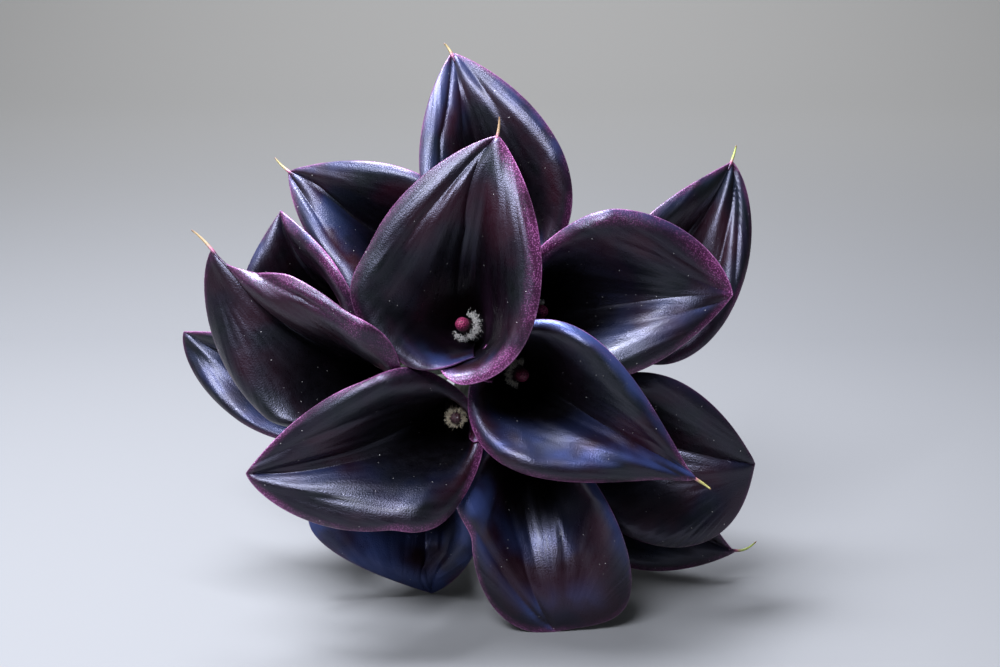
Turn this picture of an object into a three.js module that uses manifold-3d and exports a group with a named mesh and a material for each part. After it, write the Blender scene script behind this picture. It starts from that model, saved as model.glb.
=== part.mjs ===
// A hand-tied bouquet of black calla lilies, laid on its side with the flower heads to the front.
// Millimetres, +Z up, -Y to the front. The origin is on the surface, under the middle of the bouquet.
//
// The bouquet is first built standing: its own Z axis runs up through the tie, and the flowers face +Z.
// One group then lays it down. Each flower is a bare stem, a spadix on the end of the stem, and one
// spathe: the single leaf that is rolled round the spadix and flares into the dark bowl of the flower.
import * as THREE from 'three';
import { mergeVertices } from 'three/addons/utils/BufferGeometryUtils.js';
import Module from 'manifold-3d';

const wasm = await Module();
wasm.setup();

// ---- driving sizes, in millimetres and degrees ------------------------------------------------------

const LAY_DOWN = 74; // the bouquet's axis leans back from upright by this much
const LAID_AT = [4.54, 5.28, 76.29]; // where the middle of the bouquet comes to lie
const STEM = {
  radius: 4.0,
  topRadius: 3.7,
  belowTie: 120,
  held: 20, // half the length that runs straight through the tie
  splay: 2.4, // how far out the cut ends stand, as a multiple of their place in the tie
  sides: 8,
  steps: 11,
  bend: 18, // straight length below the flower
  innerRing: 5.9, // four stems round the middle of the tie
  outerRing: 14.3, // ten stems round those
  seat: 5, // length of stem inside the foot of the spathe
};
const TIE = { at: -30, inner: 18.7, thickness: 1.6, height: 24, sides: 32 };
const SPATHE = {
  thickness: 0.9,
  foot: 4.95, // radius of the rolled tube where it leaves the stem
  neck: 9, // radius of the tube where it starts to flare
  tube: 27, // foot to neck
  lean: 0.35, // share of the bend at the neck that the tube below it takes up
  overlap: 0.12, // each margin runs past the front of the flower by this part of a half turn
  outside: 1.9, // the outer margin lies this far outside the inner one
  dive: 0.45, // share of its height by which the edge of each margin dives into the roll
  seam: 0.93, // that dive starts this far round the leaf, 0 at the midrib and 1 at the margin
  soft: 0.46, // length of the curl at the rim, as a part of the distance from the throat
  roll: 34, // degrees the rim rolls over at the sides
  rollTip: 12, // and at the tip
  bendFrom: 0.4, // the tip starts to bend back this far along the blade
  dipFrom: 0.25, // and the front lip starts to sink this far along it
  heelTo: 0.35, // a fuller heel reaches this far along it
  drawnFrom: 0.6, // and a drawn-out tip starts here
};
const FOLD = {
  narrow: 0.45, // part of its width that a fold has at the tip
  widening: 1.1, // and how much of it is added along the blade
  fan: 0.75, // below 1 the folds part early from the tip
  gone: 0.05, // towards the throat they have sunk away here, as a part of the length of the blade
  full: 0.5, // and have their full height here
  root: 0.06, // they rise within this part of the blade from its tip
};
const SPADIX = { length: 31, radius: 3.1, gap: 0.75, sides: 8, stud: 0.3 };
// the rings of florets on the spadix: parts of its length and of its radius
const SPADIX_RINGS = [[0, 1], [0.1, 1], [0.2, 1], [0.3, 1], [0.4, 0.99], [0.5, 0.98], [0.6, 0.96],
  [0.7, 0.93], [0.8, 0.9], [0.89, 0.82], [0.96, 0.6], [1, 0.25]];
const TAIL = { root: 0.95, straight: 0.45, radius: 0.9, tipRadius: 0.35, sides: 5, steps: 5 };

// Where each flower sits in the standing bouquet. at: middle of its throat. neck: top of its tube.
// turn: the way its tip points, anticlockwise from +X. rise: how far the tip lifts to the front. bank: how
// far its right side drops. back and lip: throat to tip and to the front lip. left and right: half widths,
// seen with the tip up. sharp: how early the left and the right side narrow to the tip. sway: how far the
// tip swings to the right. curl: how far the tip bends back. dip: how far the front lip sinks. pinch: how
// much of the lip's width its neighbours squeeze away. heel: how much fuller the left and the right side
// are towards the lip. drawn: how much slimmer they are towards the tip. roll and seam: the roll of its rim
// and the start of the dive, where they aren't the usual ones. wrap: -1 where the left margin is the outer
// one. spadix: x and y of the tip of its spadix, where that leans off the tube. tail: how far the thread at
// the tip runs on, to the right and to the front. slot: place of its stem in the tie. folds: each fold that
// fans out from the tip: its place near the tip and at mid blade, its height and its width. A crease has a
// height below zero.
const FLOWERS = {
  A: { at: [-9, 9.5, 161], neck: [-3, 8, 132], turn: 77, rise: 0, bank: -8,
    back: 72, lip: 20.5, left: 37, right: 30, sharp: [0.6, 0.7], sway: 1, curl: 2,
    dip: 4, heel: [0.14, 0], seam: 0.82, spadix: [-6, 10.1], tail: [6.7, -0.8, 1.5], slot: 'in1',
    folds: [[-15, -19, -1.7, 1.6], [-13, -4, -1.5, 1.4], [4, 8, 1, 5], [-9, -12, 0.7, 4]] },
  H: { at: [18.5, -12, 152], neck: [16, -10, 123], turn: -26, rise: -6, bank: 0,
    back: 77, lip: 16.5, left: 27, right: 31, sharp: [1.6, 1.5], sway: 5, curl: 4,
    dip: 17, roll: 50, spadix: [18.5, -10.3], tail: [6, 1, 1], slot: 'in3',
    folds: [[5, 1, 1.9, 3.2], [11, 8.5, 1.1, 2.4], [8, 4.5, -0.7, 1.6], [-3, -5, -0.8, 2.2]] },
  I: { at: [35, 22.5, 136], neck: [27, 15, 107], turn: -3, rise: -6, bank: 0,
    back: 66.5, lip: 18, left: 32.5, right: 34, sharp: [0.35, 0.85], sway: -2, curl: 5,
    dip: 17, pinch: 0.3, spadix: [26.3, 15.4], slot: 'in0',
    folds: [[-8, -15, -0.9, 1.6], [9.5, 10, -0.8, 1.8], [1, 0, 0.7, 4], [-16, -21, -0.6, 1.4]] },
  G: { at: [-13, -35.5, 155], neck: [-10, -27.7, 127], turn: 189, rise: -3, bank: -8,
    back: 75, lip: 14.4, left: 29, right: 29, sharp: [0.35, 0.9], sway: 0, curl: 4,
    dip: 24, pinch: 0.25, heel: [0.3, 0.17], wrap: -1, spadix: [-7.7, -26.7], slot: 'in2',
    folds: [[8, 3.5, 1.1, 3], [-5, -3, -1.3, 1.6], [-18, -9, 0.9, 3.4], [14, 12, -0.9, 1.6]] },
  E: { at: [-48, -22.3, 155], neck: [-39, -15, 126], turn: 132, rise: -8, bank: -28,
    back: 81.5, lip: 9.7, left: 31, right: 28.2, sharp: [0.25, 1], sway: 0, curl: 3,
    dip: 19.5, pinch: 0.35, heel: [0, 0.32], drawn: [0, 0.95], tail: [10.5, 0, 2], slot: 'out6',
    folds: [[3.5, -3, -1.5, 1.5], [13, 18.5, -1.7, 1.8], [9, 8, 0.8, 4], [-8, -9, 0.7, 4]] },
  B: { at: [11.5, 55, 128], neck: [10, 46, 101], turn: 110, rise: -12, bank: 8,
    back: 70, lip: 21, left: 29, right: 29, sharp: [0.8, 0.75], sway: 2, curl: 4,
    dip: 14, tail: [4.3, -1.8, 1], slot: 'out2',
    folds: [[-5.5, -15, -1.6, 1.5], [0.5, -5.5, -0.9, 1.5], [5, 4, 0.8, 4], [12, 11, -0.7, 1.8]] },
  C: { at: [-28, 41.5, 117], neck: [-22, 33, 90], turn: 147, rise: -16, bank: 0,
    back: 62, lip: 22, left: 25.5, right: 26.5, sharp: [0.7, 0.85], sway: -1, curl: 4,
    dip: 14, heel: [0.4, 0], tail: [8, 1.8, 1], slot: 'out3',
    folds: [[5, -2, -1.3, 1.5], [-8, -13, -1.1, 1.6], [-2, -7, 0.6, 3], [10, 7, 0.6, 3]] },
  D: { at: [-73, 16, 120], neck: [-60, 14, 92], turn: 104, rise: -8, bank: -20,
    back: 40.5, lip: 19, left: 25, right: 25, sharp: [1.2, 1.05], sway: 3, curl: 4,
    dip: 12, slot: 'out4',
    folds: [[0, 0, -1, 1.5], [6, 6, 0.7, 2.5]] },
  F: { at: [-81.5, -24, 84], neck: [-66, -18, 60], turn: 145, rise: -15, bank: -20,
    back: 58, lip: 21, left: 18, right: 21.5, sharp: [0.2, 1.05], sway: -2, curl: 4,
    dip: 8, slot: 'out5',
    folds: [[0, 0, -1.1, 1.5], [-5, -6, 0.7, 3]] },
  J: { at: [77.5, 18, 101], neck: [64, 16, 74], turn: 66, rise: -10, bank: 18,
    back: 68.5, lip: 23, left: 29, right: 27.5, sharp: [1.15, 0.4], sway: 3, curl: 4,
    dip: 8, tail: [6.4, -1.4, 1], slot: 'out1',
    folds: [[2, 2, -1.4, 1.3], [14, 12.5, -1.4, 1.3], [19, 18, -1.1, 1.4], [8, 7, 0.9, 2.6]] },
  K: { at: [22, -48.22, 136], neck: [19, -43.15, 108], turn: 279, rise: -15, bank: 0,
    back: 68, lip: 13, left: 32, right: 28, sharp: [-0.6, -0.15], sway: 0, curl: 3,
    dip: 14, heel: [0, 0.4], slot: 'out8',
    folds: [[22, 19, -1.1, 1.5], [14, 9, -1.1, 1.5], [0, -2, 0.8, 5]] },
  L: { at: [-31.5, -68.14, 98], neck: [-22, -54, 72], turn: 270, rise: -20, bank: 0,
    back: 38, lip: 14, left: 32, right: 37.5, sharp: [0.7, 1.05], sway: -12, curl: 3,
    dip: 6, slot: 'out7',
    folds: [[-6, -15, -1.2, 1.5], [7, -11, -1, 1.5], [0, -5, 0.7, 3]] },
  M: { at: [52.5, -39.5, 118], neck: [44, -31, 91], turn: -8, rise: -12, bank: 10,
    back: 64, lip: 15, left: 32.5, right: 37.5, sharp: [0.9, -0.3], sway: 0, curl: 6,
    dip: 10, slot: 'out0',
    folds: [[0, 0, -0.9, 1.8], [-8, -9, 0.6, 4], [9, 9, 0.6, 5]] },
  N: { at: [61.5, -64.5, 87], neck: [50, -52, 63], turn: -30, rise: -15, bank: 15,
    back: 55, lip: 18, left: 18, right: 25.5, sharp: [1.25, 0.65], sway: -4, curl: 3,
    dip: 10, tail: [4.5, -9, 1], slot: 'out9',
    folds: [[0, 0, -0.9, 1.6], [6, 6, 0.6, 3]] },
};

const SIDE_STEPS = [-1, -0.95, -0.88, -0.78, -0.66, -0.54, -0.43, -0.33, -0.24, -0.16, -0.08, 0,
  0.08, 0.16, 0.24, 0.33, 0.43, 0.54, 0.66, 0.78, 0.88, 0.95, 1];
const RISE_STEPS = [0, 0.18, 0.34, 0.5, 0.64, 0.77, 0.88, 0.96, 1];

const material = (color, roughness) => new THREE.MeshStandardMaterial({ color, roughness, metalness: 0 });

// ---- helpers ----------------------------------------------------------------------------------------

const rad = THREE.MathUtils.degToRad;
const vec = (x, y, z) => new THREE.Vector3(x, y, z);
const mix = (a, b, t) => a + (b - a) * t;
const smooth = (a, b, x) => THREE.MathUtils.smoothstep(x, a, b);

// ---- stems ------------------------------------------------------------------------------------------

// Place of a stem in the tie: four stand in the middle ring and ten in the outer one.
function tiePlace(slot) {
  const inner = slot.startsWith('in');
  const n = Number(slot.replace(/\D/g, ''));
  const angle = inner ? rad(45 + 90 * n) : rad(36 * n);
  const r = inner ? STEM.innerRing : STEM.outerRing;
  return vec(r * Math.cos(angle), r * Math.sin(angle), TIE.at);
}

// The frame of one flower: the plane of its opening, and the bent tube that joins it to the stem.
function flowerFrame(f) {
  const throat = vec(...f.at);
  const tie = tiePlace(f.slot);
  const turn = rad(f.turn);
  const rise = rad(f.rise);
  const bank = rad(f.bank);
  const toTip = vec(Math.cos(turn) * Math.cos(rise), Math.sin(turn) * Math.cos(rise), Math.sin(rise));
  const level = vec(-Math.cos(turn) * Math.sin(rise), -Math.sin(turn) * Math.sin(rise), Math.cos(rise));
  const flat = toTip.clone().cross(level);
  const out = level.clone().multiplyScalar(Math.cos(bank)).addScaledVector(flat, Math.sin(bank));
  const toRight = flat.clone().multiplyScalar(Math.cos(bank)).addScaledVector(level, -Math.sin(bank));
  const neck = vec(...f.neck);
  const upper = throat.clone().sub(neck).normalize();
  const lower = neck.clone().sub(tie).normalize().lerp(upper, SPATHE.lean).normalize();
  const foot = neck.clone().addScaledVector(lower, -SPATHE.tube);
  return { throat, tie, toTip, toRight, out, upper, neck, lower, foot };
}

// A point on a ring round the flower's axis. The angle starts at the side of the tip.
function ringPoint(centre, axis, toTip, radius, angle) {
  const front = toTip.clone().addScaledVector(axis, -toTip.dot(axis)).normalize();
  const right = front.clone().cross(axis);
  return centre.clone().addScaledVector(front, radius * Math.cos(angle))
    .addScaledVector(right, radius * Math.sin(angle));
}

// A point of the spathe's middle surface. side runs from -1 to 1 round the roll, 0 at the midrib and the
// tip, and height from 0 at the foot to 1 at the rim.
function spathePoint(f, frame, side, height) {
  const { throat, toTip, toRight, out, upper, neck, lower, foot } = frame;
  const angle = Math.PI * (1 + SPATHE.overlap) * side;
  const a = Math.abs(angle);
  const own = ([ofLeft, ofRight]) => (side < 0 ? ofLeft : ofRight);
  const sharp = own(f.sharp);
  const width = own([f.left, f.right]);
  const peak = 2 * ((sharp + 1) / (sharp + 2)) ** ((sharp + 1) / 2) * (sharp + 2) ** -0.5;
  const along = (f.back - f.lip) / 2 + (f.back + f.lip) / 2 * Math.cos(a);
  const narrow = Math.max(Math.sin(a / 2), 1e-6) ** sharp;
  const sway = f.sway * (Math.max(along, 0) / f.back) ** 2;

  // towards the front lip the rim sinks, and may be pinched by its neighbours
  const dipFrom = SPATHE.dipFrom * f.back;
  const sunk = Math.max((dipFrom - along) / (dipFrom + f.lip), 0) ** 1.5;
  const pinched = 1 - (f.pinch ?? 0) * sunk;
  const fuller = 1 + own(f.heel ?? [0, 0]) * (1 - smooth(0, SPATHE.heelTo, along / f.back));
  const slimmer = 1 - own(f.drawn ?? [0, 0]) * smooth(SPATHE.drawnFrom, 1, along / f.back);
  const across = Math.sign(angle) * width * Math.sin(a) * narrow / peak * pinched * fuller * slimmer + sway;

  // past the middle of the blade the tip bends back
  const bendFrom = SPATHE.bendFrom * f.back;
  const bend = Math.max((along - bendFrom) / (f.back - bendFrom), 0) ** 2;
  const place = (q, x, h) =>
    throat.clone().addScaledVector(toTip, q).addScaledVector(toRight, x).addScaledVector(out, h);
  const rim = place(along, across, -f.curl * bend - f.dip * sunk);

  // the rim rolls over at the sides and lies flat towards the tip
  const reach = Math.hypot(along, across);
  const rolled = mix(SPATHE.rollTip, f.roll ?? SPATHE.roll, smooth(0.15, 1.3, a));
  const roll = rad(rolled * (1 - 0.6 * smooth(2.4, 3.1, a)));
  const inward = throat.clone().sub(place(along, across, 0)).normalize();
  const soft = SPATHE.soft * reach;
  const shoulder = rim.clone().addScaledVector(inward, soft * Math.cos(roll))
    .addScaledVector(out, soft * Math.sin(roll));
  const t = height * (1 - SPATHE.dive * smooth(f.seam ?? SPATHE.seam, 1, Math.abs(side)));
  const p = bezier(ringPoint(foot, lower, toTip, SPATHE.foot, angle),
    ringPoint(neck, upper, toTip, SPATHE.neck, angle), shoulder, rim, t);

  // the outer margin wraps round the inner one
  const lift = SPATHE.outside * smooth(0.45, 0.78, side * (f.wrap ?? 1));
  const centre = bezier(foot, neck, throat, throat, t);
  const radial = p.clone().sub(centre).normalize();
  p.addScaledVector(radial, lift);
  return p;
}

// How far the folds raise a point of the blade above the smooth leaf.
function foldHeight(f, frame, p) {
  const fromThroat = p.clone().sub(frame.throat);
  const along = fromThroat.dot(frame.toTip) / f.back;
  const across = fromThroat.dot(frame.toRight) - f.sway * Math.max(along, 0) ** 2;
  const run = THREE.MathUtils.clamp(1 - along, 0, 1);
  let height = 0;
  for (const [nearTip, midBlade, rise, width] of f.folds) {
    const line = mix(nearTip, midBlade, Math.min(2 * run, 1)) * (2 * run) ** FOLD.fan;
    const off = (across - line) / (width * (FOLD.narrow + FOLD.widening * run));
    height += rise * Math.exp(-off * off);
  }
  return height * smooth(FOLD.gone, FOLD.full, along) * smooth(0, FOLD.root, run);
}

function bezier(p0, p1, p2, p3, t) {
  const s = 1 - t;
  return vec(0, 0, 0).addScaledVector(p0, s * s * s).addScaledVector(p1, 3 * s * s * t)
    .addScaledVector(p2, 3 * s * t * t).addScaledVector(p3, t * t * t);
}

// The way each point of a grid faces.
function gridNormals(grid) {
  const rows = grid.length;
  const cols = grid[0].length;
  return grid.map((row, i) => row.map((p, j) => {
    const du = grid[Math.min(i + 1, rows - 1)][j].clone().sub(grid[Math.max(i - 1, 0)][j]);
    const dv = grid[i][Math.min(j + 1, cols - 1)].clone().sub(grid[i][Math.max(j - 1, 0)]);
    return du.cross(dv).normalize();
  }));
}

// Closes a grid of points into a thin leaf: both faces are split into triangles alike.
function leafGeometry(grid, thickness) {
  const rows = grid.length;
  const cols = grid[0].length;
  const normals = gridNormals(grid);
  const positions = [];
  for (const half of [thickness / 2, -thickness / 2]) {
    grid.forEach((row, i) => row.forEach((p, j) => {
      positions.push(...p.clone().addScaledVector(normals[i][j], half).toArray());
    }));
  }
  const at = (face, i, j) => face * rows * cols + i * cols + j;
  const index = [];
  for (let i = 0; i < rows - 1; i += 1) {
    for (let j = 0; j < cols - 1; j += 1) {
      index.push(at(0, i, j), at(0, i + 1, j), at(0, i + 1, j + 1));
      index.push(at(0, i, j), at(0, i + 1, j + 1), at(0, i, j + 1));
      index.push(at(1, i, j), at(1, i + 1, j + 1), at(1, i + 1, j));
      index.push(at(1, i, j), at(1, i, j + 1), at(1, i + 1, j + 1));
    }
  }
  const edge = (i0, j0, i1, j1) => {
    index.push(at(0, i0, j0), at(1, i0, j0), at(1, i1, j1), at(0, i0, j0), at(1, i1, j1), at(0, i1, j1));
  };
  for (let i = 0; i < rows - 1; i += 1) {
    edge(i, 0, i + 1, 0);
    edge(i + 1, cols - 1, i, cols - 1);
  }
  for (let j = 0; j < cols - 1; j += 1) {
    edge(0, j + 1, 0, j);
    edge(rows - 1, j, rows - 1, j + 1);
  }
  const geometry = new THREE.BufferGeometry();
  geometry.setAttribute('position', new THREE.Float32BufferAttribute(positions, 3));
  geometry.setIndex(index);
  return geometry;
}

// Closes rings of points, one after the other along a rod, into one body.
function ringsGeometry(rings) {
  const sides = rings[0].length;
  const last = (rings.length - 1) * sides;
  const index = [];
  for (let first = 0; first < last; first += sides) {
    for (let k = 0; k < sides; k += 1) {
      const a = first + k;
      const b = first + (k + 1) % sides;
      index.push(a, b, b + sides, a, b + sides, a + sides);
    }
  }
  for (let k = 1; k < sides - 1; k += 1) {
    index.push(0, k + 1, k, last, last + k, last + k + 1);
  }
  const geometry = new THREE.BufferGeometry();
  const positions = rings.flat().flatMap((p) => p.toArray());
  geometry.setAttribute('position', new THREE.Float32BufferAttribute(positions, 3));
  geometry.setIndex(index);
  return geometry;
}

// A ring of points round a centre, in the plane of u and v. radiusAt gives the radius of each.
function ring(centre, u, v, sides, radiusAt) {
  return Array.from({ length: sides }, (_, k) => {
    const a = 2 * Math.PI * k / sides;
    return centre.clone().addScaledVector(u, radiusAt(k) * Math.cos(a))
      .addScaledVector(v, radiusAt(k) * Math.sin(a));
  });
}

// A round rod along a curve, tapered from one radius to the other, with closed ends.
function rodGeometry(curve, r0, r1, sides, steps) {
  const frames = curve.computeFrenetFrames(steps, false);
  return ringsGeometry(Array.from({ length: steps + 1 }, (_, i) => ring(curve.getPointAt(i / steps),
    frames.normals[i], frames.binormals[i], sides, () => mix(r0, r1, i / steps))));
}

function toSolid(geometry) {
  const merged = mergeVertices(geometry, 1e-4);
  return new wasm.Manifold(new wasm.Mesh({
    numProp: 3,
    vertProperties: new Float32Array(merged.attributes.position.array),
    triVerts: new Uint32Array(merged.index.array),
  }));
}

function toGeometry(solid) {
  const mesh = solid.getMesh();
  const geometry = new THREE.BufferGeometry();
  geometry.setAttribute('position', new THREE.BufferAttribute(new Float32Array(mesh.vertProperties), 3));
  geometry.setIndex(new THREE.BufferAttribute(new Uint32Array(mesh.triVerts), 1));
  return geometry;
}

// ---- the three pieces of a flower -------------------------------------------------------------------

// The green thread that the tip of most spathes ends in. It is one with the spathe.
function tailGeometry(f, frame) {
  const root = spathePoint(f, frame, 0, TAIL.root);
  const tip = spathePoint(f, frame, 0, 1);
  const [along, right, forward] = f.tail;
  const end = tip.clone().addScaledVector(frame.toTip, along).addScaledVector(frame.toRight, right)
    .addScaledVector(frame.out, forward);
  const way = tip.clone().sub(root).normalize();
  const bend = tip.clone().addScaledVector(way, TAIL.straight * tip.distanceTo(end));
  return rodGeometry(new THREE.QuadraticBezierCurve3(root, bend, end), TAIL.radius, TAIL.tipRadius,
    TAIL.sides, TAIL.steps);
}

function spatheGeometry(f, frame) {
  const grid = SIDE_STEPS.map((side) => RISE_STEPS.map((height) => spathePoint(f, frame, side, height)));
  const normals = gridNormals(grid);
  grid.forEach((row, i) => row.forEach((p, j) => p.addScaledVector(normals[i][j], foldHeight(f, frame, p))));
  const leaf = leafGeometry(grid, SPATHE.thickness);
  return f.tail ? toGeometry(toSolid(leaf).add(toSolid(tailGeometry(f, frame)))) : leaf;
}

function stemGeometry(f, frame) {
  const { tie, foot, lower } = frame;
  const cut = vec(tie.x * STEM.splay, tie.y * STEM.splay, TIE.at - STEM.belowTie);
  const held = [-1, -0.35, 0.35, 1].map((k) => vec(0, 0, k * STEM.held).add(tie));
  const top = foot.clone().addScaledVector(lower, STEM.seat);
  const below = foot.clone().addScaledVector(lower, -STEM.bend);
  const curve = new THREE.CatmullRomCurve3([cut, ...held, below, foot, top], false, 'centripetal');
  return rodGeometry(curve, STEM.radius, STEM.topRadius, STEM.sides, STEM.steps);
}

// The spadix: a finger on the end of the stem, studded all over with florets.
function spadixGeometry(f, frame) {
  const { foot, lower, upper, toTip } = frame;
  const base = foot.clone().addScaledVector(lower, STEM.seat + SPADIX.gap);
  const along = lower.clone().lerp(upper, SPATHE.lean);
  const leaning = f.spadix && vec(...f.spadix, base.z + SPADIX.length).sub(base);
  const axis = (leaning ?? along).normalize();
  const u = toTip.clone().addScaledVector(axis, -toTip.dot(axis)).normalize();
  const v = axis.clone().cross(u);
  const end = SPADIX_RINGS.length - 1;
  return ringsGeometry(SPADIX_RINGS.map(([along, part], i) => {
    const stud = i > 0 && i < end ? SPADIX.stud : 0;
    return ring(base.clone().addScaledVector(axis, along * SPADIX.length), u, v, SPADIX.sides,
      (k) => part * SPADIX.radius + (i + k) % 2 * stud);
  }));
}

// The band that ties the stems: a plain closed ring.
function tieGeometry() {
  const half = TIE.height / 2;
  const outer = TIE.inner + TIE.thickness;
  const section = [[TIE.inner, -half], [outer, -half], [outer, half], [TIE.inner, half], [TIE.inner, -half]];
  const geometry = new THREE.LatheGeometry(section.map(([x, y]) => new THREE.Vector2(x, y)), TIE.sides);
  geometry.rotateX(Math.PI / 2);
  geometry.translate(0, 0, TIE.at);
  return geometry;
}

// ---- assembly ---------------------------------------------------------------------------------------

const dark = material(0x1b0f1c, 0.42);
const green = material(0x5c7a3a, 0.5);
const crimson = material(0x4a1020, 0.6);
const tan = material(0x8a7b52, 0.9);

const group = new THREE.Group();
const bouquet = new THREE.Group();
bouquet.rotation.x = rad(LAY_DOWN);
bouquet.position.set(...LAID_AT);
group.add(bouquet);

function addPiece(name, geometry, look) {
  const mesh = new THREE.Mesh(geometry, look.clone());
  mesh.name = name;
  bouquet.add(mesh);
}

for (const [name, f] of Object.entries(FLOWERS)) {
  const frame = flowerFrame(f);
  addPiece(`spathe_${name}`, spatheGeometry(f, frame), dark);
  addPiece(`stem_${name}`, stemGeometry(f, frame), green);
  addPiece(`spadix_${name}`, spadixGeometry(f, frame), crimson);
}
addPiece('tie', tieGeometry(), tan);

export default group;
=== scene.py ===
import math

import bpy
import numpy as np
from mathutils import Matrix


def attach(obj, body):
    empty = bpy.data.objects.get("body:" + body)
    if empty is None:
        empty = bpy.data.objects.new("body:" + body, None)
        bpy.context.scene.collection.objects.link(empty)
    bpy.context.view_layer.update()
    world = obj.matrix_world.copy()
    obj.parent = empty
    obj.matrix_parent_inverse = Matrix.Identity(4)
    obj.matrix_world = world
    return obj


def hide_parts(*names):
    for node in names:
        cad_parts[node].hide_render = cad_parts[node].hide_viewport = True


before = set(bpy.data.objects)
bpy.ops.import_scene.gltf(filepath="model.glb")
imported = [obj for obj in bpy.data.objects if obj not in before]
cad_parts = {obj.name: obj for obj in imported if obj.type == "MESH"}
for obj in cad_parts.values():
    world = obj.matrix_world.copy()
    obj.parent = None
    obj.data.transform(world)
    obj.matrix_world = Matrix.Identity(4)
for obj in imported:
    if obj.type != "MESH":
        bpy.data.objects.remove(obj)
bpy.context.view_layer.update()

# ---- The plan of the bouquet -------------------------------------------------------------------------
# Fourteen black calla lilies tied by hand. The plan is drawn standing, in millimetres and degrees, with
# Z up through the tie and the flowers facing +Z, and is then laid down on its side.

LAY_DOWN = 74
LAID_AT = np.array([4.54, 5.28, 76.29])

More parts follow.
